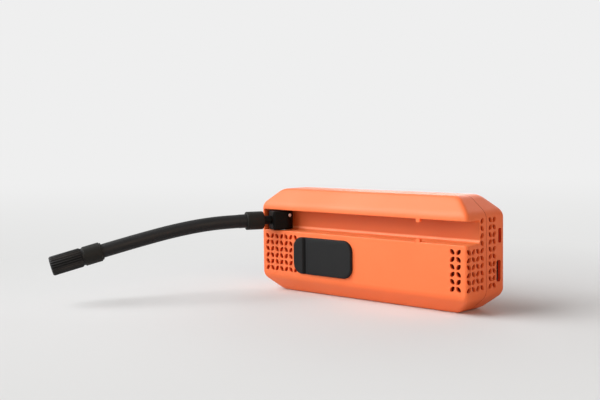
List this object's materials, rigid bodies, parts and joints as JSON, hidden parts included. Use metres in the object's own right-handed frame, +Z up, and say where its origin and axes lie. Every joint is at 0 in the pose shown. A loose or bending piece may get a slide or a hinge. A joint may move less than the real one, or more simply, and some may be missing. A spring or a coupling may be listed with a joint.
{
  "type": "portable tire inflator",
  "caption": "Battery tire inflator with a bevelled two-shell casing, side hose groove with a short swivelling hose and screw-on valve chuck, vent patterns, rubber port cover and end sockets.",
  "frame": {"origin": "middle of the flat bottom face that the inflator stands on", "axes": "+X along the casing towards the end with the charging sockets, +Z up, the grooved side with the hose faces -Y"},
  "size_m": [0.2331, 0.1757, 0.07],
  "materials": {
    "orange_plastic": "fine matte",
    "black_plastic": "satin",
    "black_metal": "satin black anodising",
    "hose_rubber": "smooth satin",
    "grey_rubber": "soft matte",
    "clear_tube": "milky silicone",
    "steel": "plated",
    "brass": "turned",
    "aluminium": "die-cast",
    "magnet": "sintered",
    "cell_wrap": "satin shrink wrap",
    "circuit_board": "solder mask",
    "window": "smoked clear"
  },
  "bodies": {
    "housing": {"front_shell": "orange_plastic", "rear_shell": "orange_plastic", "case_screws": "steel", "pivot_tube": "steel", "pivot_nut": "steel", "flap_anchor": "grey_rubber", "flap_hinge": "grey_rubber", "output_socket": "black_plastic", "output_contacts": "brass", "usb_a_receptacle": "steel", "usb_c_receptacle": "steel", "battery_cells": "cell_wrap", "cell_holder": "black_plastic", "crank_bush": "brass", "pump_cylinder": "aluminium", "cylinder_head": "aluminium", "valve_ball": "steel", "valve_spring": "steel", "pump_frame": "aluminium", "pump_screws": "steel", "motor_can": "steel", "motor_end_cap": "black_plastic", "motor_magnets": "magnet", "air_tube": "clear_tube", "sensor_tube": "clear_tube", "pressure_sensor": "black_plastic", "control_board": "circuit_board", "board_screws": "steel", "display_module": "black_plastic", "display_window": "window", "tact_switches": "black_plastic"},
    "swivel": {"swivel_block": "black_plastic", "pivot_screw": "steel", "pivot_orings": "hose_rubber", "near_ferrule": "black_plastic", "hose": "hose_rubber"},
    "chuck": {"far_ferrule": "black_plastic", "chuck_stem": "black_metal", "chuck_gasket": "hose_rubber", "depressor_pin": "brass"},
    "chuck_ring": {"chuck_nut": "black_metal"},
    "flap": {"port_flap": "grey_rubber"},
    "crank": {"crank_gear": "black_plastic", "crank_shaft": "steel", "crank_pin": "steel"},
    "rotor": {"pinion": "black_plastic", "motor_shaft": "steel", "motor_armature": "steel"},
    "piston": {"piston": "aluminium", "piston_seal": "hose_rubber", "wrist_pin": "steel"},
    "rod": {"connecting_rod": "aluminium"},
    "power_button": {"power_button": "black_plastic"},
    "mode_button": {"mode_button": "black_plastic"},
    "plus_button": {"plus_button": "black_plastic"},
    "minus_button": {"minus_button": "black_plastic"}
  },
  "joints": [
    {"name": "hose_swing", "type": "hinge", "parent": "housing", "child": "swivel", "pos_m": [-0.0703, -0.0133, 0.0489], "axis": [0, 0, 1], "range_deg": [-12.5, 117.5]},
    {"name": "hose_flex", "type": "hinge", "parent": "swivel", "child": "chuck", "pos_m": [-0.09913, -0.06869, 0.0489], "axis": [-0.887, 0.4617, 0], "range_deg": [-1.52, 14.21], "deforming": ["hose"]},
    {"name": "chuck_ring_spin", "type": "hinge", "parent": "chuck", "child": "chuck_ring", "pos_m": [-0.13217, -0.13216, 0.0308], "axis": [-0.4477, -0.8599, -0.2452], "continuous": true},
    {"name": "flap_open", "type": "hinge", "parent": "housing", "child": "flap", "pos_m": [-0.04335, -0.02005, 0.02645], "axis": [0, 0, -1], "range_deg": [0, 85], "deforming": ["flap_hinge"]},
    {"name": "crank_spin", "type": "hinge", "parent": "housing", "child": "crank", "pos_m": [0.0336, -0.00975, 0.0215], "axis": [0, 1, 0], "continuous": true},
    {"name": "rotor_spin", "type": "hinge", "parent": "housing", "child": "rotor", "pos_m": [0.054, -0.00975, 0.0215], "axis": [0, 1, 0], "continuous": true},
    {"name": "piston_stroke", "type": "slide", "parent": "housing", "child": "piston", "axis": [1, 0, 0], "range_m": [0, 0.01]},
    {"name": "rod_swing", "type": "hinge", "parent": "piston", "child": "rod", "pos_m": [0.0016, 0, 0.0215], "axis": [0, 1, 0], "range_deg": [-10.7, 10.7]},
    {"name": "power_button_press", "type": "slide", "parent": "housing", "child": "power_button", "axis": [0, -1, 0], "range_m": [0, 0.0004], "stiffness_N_per_m": 600},
    {"name": "mode_button_press", "type": "slide", "parent": "housing", "child": "mode_button", "axis": [0, -1, 0], "range_m": [0, 0.0004], "stiffness_N_per_m": 600},
    {"name": "plus_button_press", "type": "slide", "parent": "housing", "child": "plus_button", "axis": [0, -1, 0], "range_m": [0, 0.0004], "stiffness_N_per_m": 600},
    {"name": "minus_button_press", "type": "slide", "parent": "housing", "child": "minus_button", "axis": [0, -1, 0], "range_m": [0, 0.0004], "stiffness_N_per_m": 600}
  ],
  "couplings": [
    {"joint": "hose_flex", "follows": "hose_swing", "ratio": 0.12081},
    {"joint": "rotor_spin", "follows": "crank_spin", "ratio": -3.6364}
  ]
}
